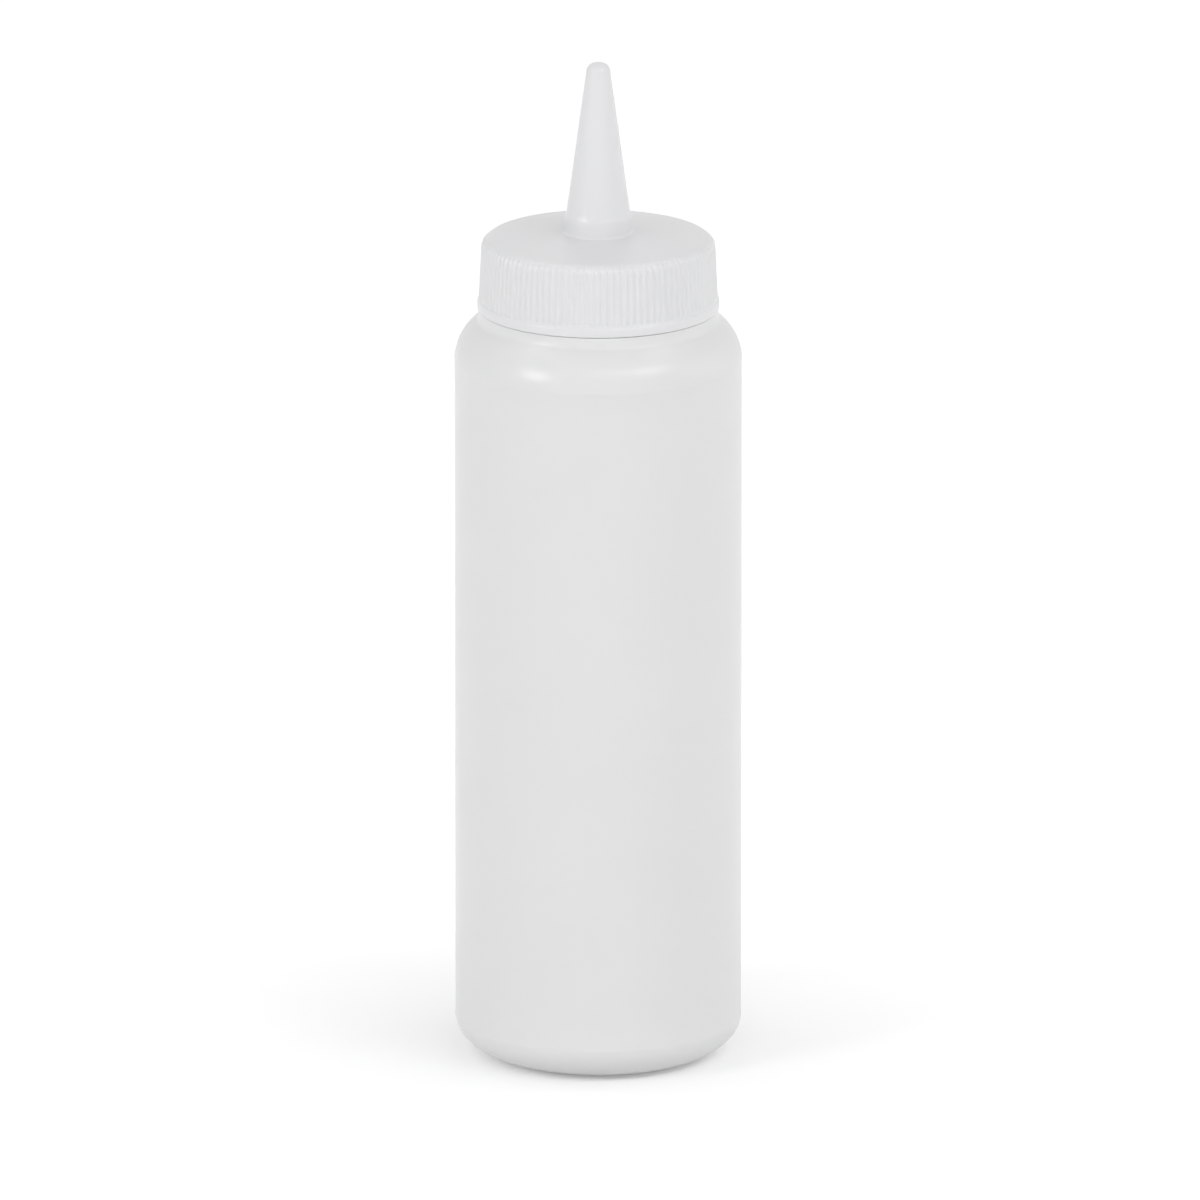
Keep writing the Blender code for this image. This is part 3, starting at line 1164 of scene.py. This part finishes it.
@dataclass
class Studio:
    """A plain pale floor, soft lamps and the camera at the photo's angle."""

    elevation: float = 15.5
    distance: float = 5.2
    sensor: float = 36.0
    frame_width: float = 0.212208
    aim: Point = (0.0003, 0.0824)
    ambient: float = 1.165
    horizon_share: float = 0.42
    sky_rise: Point = (0.24, 0.44)
    sky_fade: Point = (0.7, 0.83)
    floor_drop: float = 0.0001
    floor_radius: float = 3.5
    floor_columns: int = 96
    floor_colour: str = "#EEEEEE"
    floor_roughness: float = 0.9
    # painted shade: nearer than shadow_reach the floor's glow falls to the lower lift, deepening
    # the real shadow round the foot
    shadow_reach: Point = (0.03, 0.11)
    shadow_lift: Point = (0.24, 0.38)
    lamp_height: float = 0.13
    softboxes: tuple[Softbox, ...] = (
        Softbox("left_key", -53.0, 19.0, 0.3, 0.3, 6.9),
        Softbox("right_key", 49.0, 34.0, 0.5, 0.22, 4.2),
        Softbox("front_top", 13.0, 35.0, 0.8, 0.2, 1.8),
        Softbox("left_strip", -105.0, 61.0, 0.6, 0.12, 2.6),
        Softbox("right_strip", 95.0, 61.0, 0.6, 0.12, 2.6),
        Softbox("right_side", 95.0, 12.0, 0.9, 0.5, 0.42),
        Softbox("front_low", 0.0, -8.0, 1.6, 0.3, 0.85),
    )

    def build(self) -> None:
        """Makes the world, the floor, the lamps and the camera."""
        self.make_world()
        self.make_floor()
        self.make_camera()
        for softbox in self.softboxes:
            softbox.build(Vector((0.0, 0.0, self.lamp_height)))
        bpy.context.scene.view_settings.view_transform = "Standard"

    def make_world(self) -> None:
        """A surrounding that is dim low down, bright above and dark overhead.

        Background rays see plain white in it.
        """
        world = bpy.data.worlds.new("surrounding")
        bpy.context.scene.world = world
        world.use_nodes = True
        tree = world.node_tree
        tree.nodes.clear()
        way = add_node(tree, "ShaderNodeTexCoord").outputs["Generated"]
        height = add_node(tree, "ShaderNodeSeparateXYZ", Vector=way).outputs["Z"]
        rise = add_node(
            tree,
            "ShaderNodeMapRange",
            Value=height,
            From_Min=self.sky_rise[0],
            From_Max=self.sky_rise[1],
            To_Min=self.ambient * self.horizon_share,
            To_Max=self.ambient,
        ).outputs["Result"]
        fade = add_node(
            tree,
            "ShaderNodeMapRange",
            Value=height,
            From_Min=self.sky_fade[0],
            From_Max=self.sky_fade[1],
            To_Min=1.0,
            To_Max=0.0,
        ).outputs["Result"]
        level = add_node(
            tree, "ShaderNodeMath", {"operation": "MULTIPLY"}, Value=rise, Value_001=fade
        ).outputs["Value"]
        strength = add_node(
            tree,
            "ShaderNodeMix",
            Factor_Float=background_rays(tree),
            A_Float=level,
            B_Float=1.0,
        ).outputs["Result"]
        sky = add_node(
            tree, "ShaderNodeBackground", Color=WHITE, Strength=strength
        )
        add_node(tree, "ShaderNodeOutputWorld", Surface=sky.outputs["Background"])

    def make_floor(self) -> None:
        """A round pale floor that takes the object's shadow and is white elsewhere."""
        mesh = bpy.data.meshes.new("floor")
        angles = np.linspace(0.0, FULL_TURN, self.floor_columns, endpoint=False)
        rim = self.floor_radius * np.column_stack([np.cos(angles), np.sin(angles)])
        level = np.full((len(angles), 1), -self.floor_drop)
        mesh.from_pydata(np.hstack([rim, level]).tolist(), [], [list(range(len(angles)))])
        floor = bpy.data.objects.new("floor", mesh)
        bpy.context.scene.collection.objects.link(floor)
        mesh.materials.append(self.floor_paint())

    def floor_paint(self) -> bpy.types.Material:
        """Matte white board that glows to plain white for background rays. The glow is weaker
        near the middle, which is painted shade that deepens the object's real shadow round its
        foot.

        Returns:
            The floor's material.
        """
        material, tree = plain_material("matte_white_board")
        place = add_node(tree, "ShaderNodeTexCoord").outputs["Object"]
        away = add_node(
            tree, "ShaderNodeVectorMath", {"operation": "LENGTH"}, Vector=place
        ).outputs["Value"]
        # painted shade: less glow near the middle, so the floor there is darker where the shadow
        # falls
        lift = add_node(
            tree,
            "ShaderNodeMapRange",
            Value=away,
            From_Min=self.shadow_reach[0],
            From_Max=self.shadow_reach[1],
            To_Min=self.shadow_lift[0],
            To_Max=self.shadow_lift[1],
        ).outputs["Result"]
        times = {"operation": "MULTIPLY"}
        glow = add_node(
            tree, "ShaderNodeMath", times, Value=lift, Value_001=background_rays(tree)
        ).outputs["Value"]
        shader = add_node(
            tree,
            "ShaderNodeBsdfPrincipled",
            Base_Color=srgb(self.floor_colour),
            Roughness=self.floor_roughness,
            Emission_Color=WHITE,
            Emission_Strength=glow,
        )
        add_node(tree, "ShaderNodeOutputMaterial", Surface=shader.outputs["BSDF"])
        return material

    def make_camera(self) -> None:
        """A long lens at the photo's angle, which sees the frame width at the object."""
        rise = math.radians(self.elevation)
        way = Vector((0.0, -math.cos(rise), math.sin(rise)))
        data = bpy.data.cameras.new("camera")
        data.sensor_width = self.sensor
        data.lens = self.sensor * self.distance / self.frame_width
        camera = bpy.data.objects.new("camera", data)
        camera.location = Vector((self.aim[0], 0.0, self.aim[1])) + way * self.distance
        camera.rotation_euler = way.to_track_quat("Z", "Y").to_euler()
        bpy.context.scene.collection.objects.link(camera)
        bpy.context.scene.camera = camera


def main() -> None:
    """Builds the studio and each piece, in order from the bottle up."""
    logging.basicConfig(level=logging.INFO, format="%(message)s")
    Studio().build()
    bottle = Bottle()
    bottle.build()
    SealRing().build()
    ScrewCap(bottle).build()


if __name__ == "__main__":
    main()
